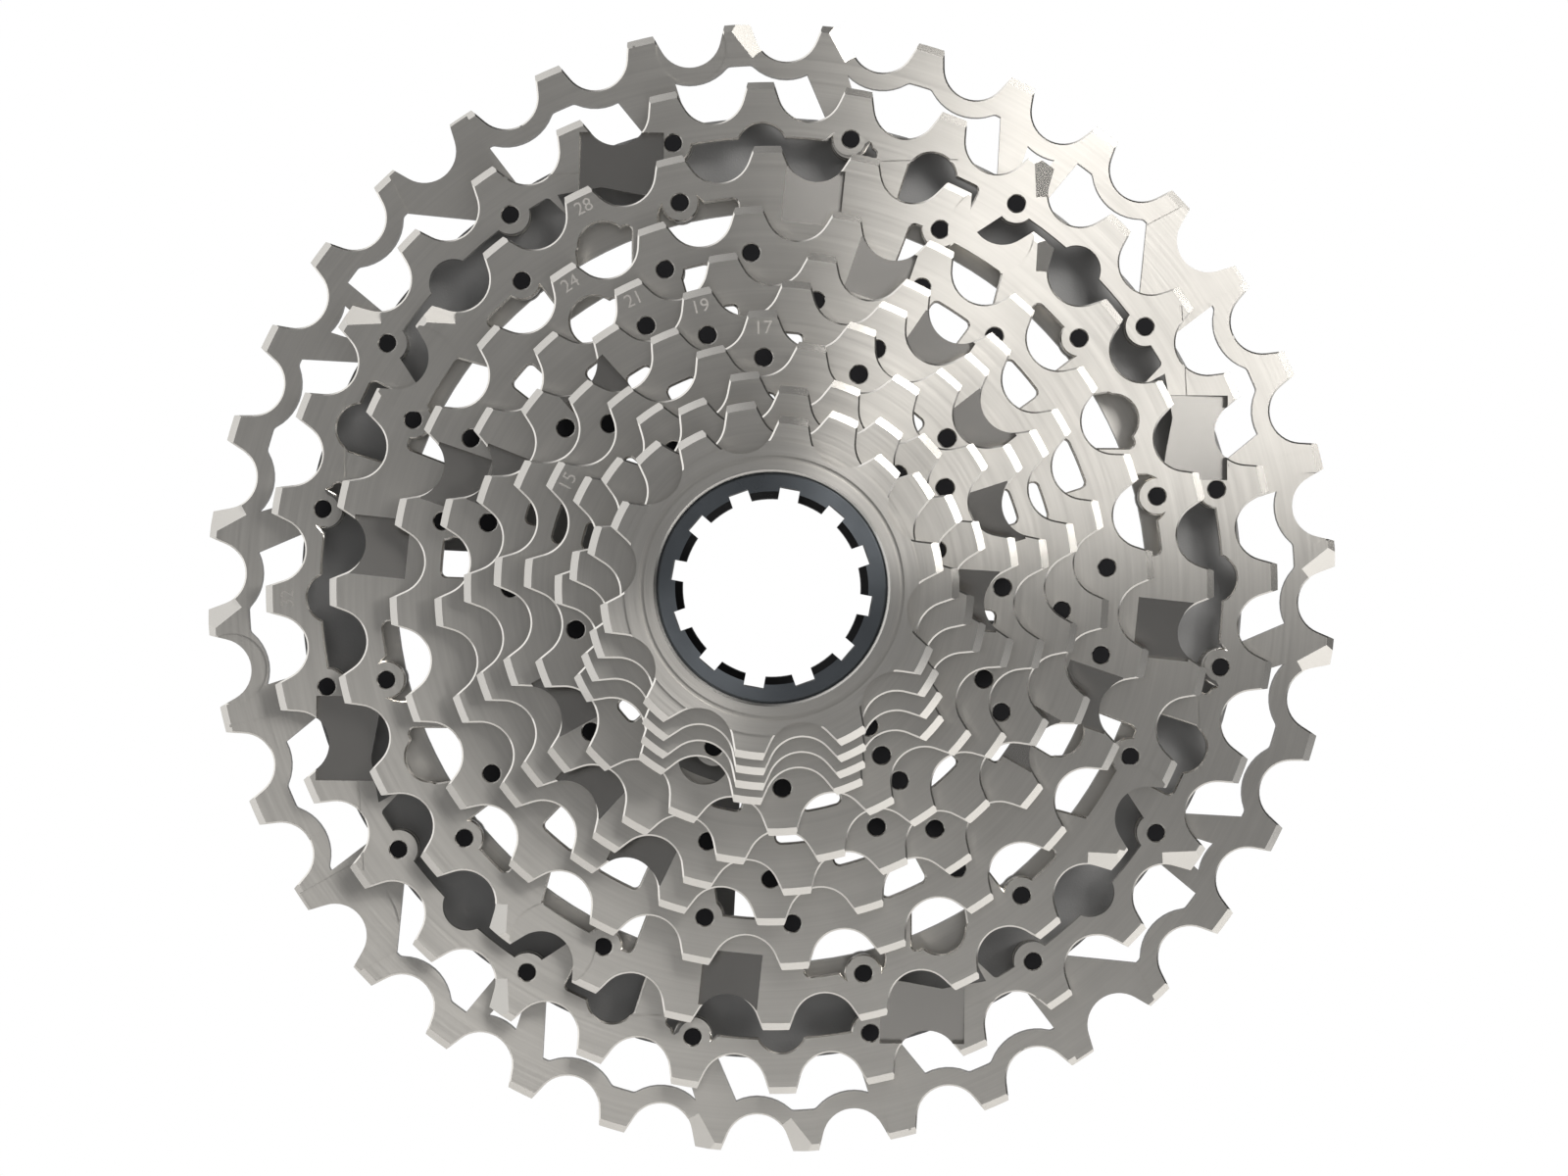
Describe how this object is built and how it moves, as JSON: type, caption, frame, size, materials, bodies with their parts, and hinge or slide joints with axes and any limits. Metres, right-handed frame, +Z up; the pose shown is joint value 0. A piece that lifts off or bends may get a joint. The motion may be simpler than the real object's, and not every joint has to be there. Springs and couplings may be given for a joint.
{
  "type": "bicycle cassette sprocket",
  "caption": "Bicycle cassette: stepped toothed steel sprockets pinned into a hollow dome on a dark rear carrier, held by a captive splined lockring.",
  "frame": {"origin": "on the cassette's axis, at the rear end face of the carrier's hub, the plane that seats on the driver body", "axes": "Y along the cassette's axis, with the small sprockets and the lockring towards -Y; X to the right and Z up as seen from the small sprockets"},
  "size_m": [0.1478, 0.0446, 0.1478],
  "materials": {
    "stamped_steel": "satin nickel over circular brushing",
    "machined_steel": "fine turned nickel-plated steel",
    "black_pin": "black oxide",
    "dark_anodised": "dark anodised, fine blasted",
    "black_anodised": "black anodised, turned",
    "spring_steel": "plain spring steel"
  },
  "bodies": {
    "cassette": {"sprocket_36t": "stamped_steel", "sprocket_32t": "stamped_steel", "sprocket_28t": "stamped_steel", "sprocket_24t": "stamped_steel", "sprocket_21t": "stamped_steel", "sprocket_19t": "stamped_steel", "sprocket_17t": "stamped_steel", "sprocket_15t": "stamped_steel", "small_sprocket_cluster": "machined_steel", "pins_36t_32t": "black_pin", "pins_32t_28t": "black_pin", "pins_28t_24t": "black_pin", "pins_24t_21t": "black_pin", "pins_21t_19t": "black_pin", "pins_19t_17t": "black_pin", "pins_17t_15t": "black_pin", "pins_15t_13t": "black_pin", "rear_carrier": "dark_anodised"},
    "lockring": {"lockring_tube": "black_anodised", "lockring_snap_ring": "spring_steel"}
  },
  "joints": [
    {"name": "lockring_turn", "type": "hinge", "parent": "cassette", "child": "lockring", "pos_m": [0, -0.03, 0], "axis": [0, -1, 0], "continuous": true}
  ]
}
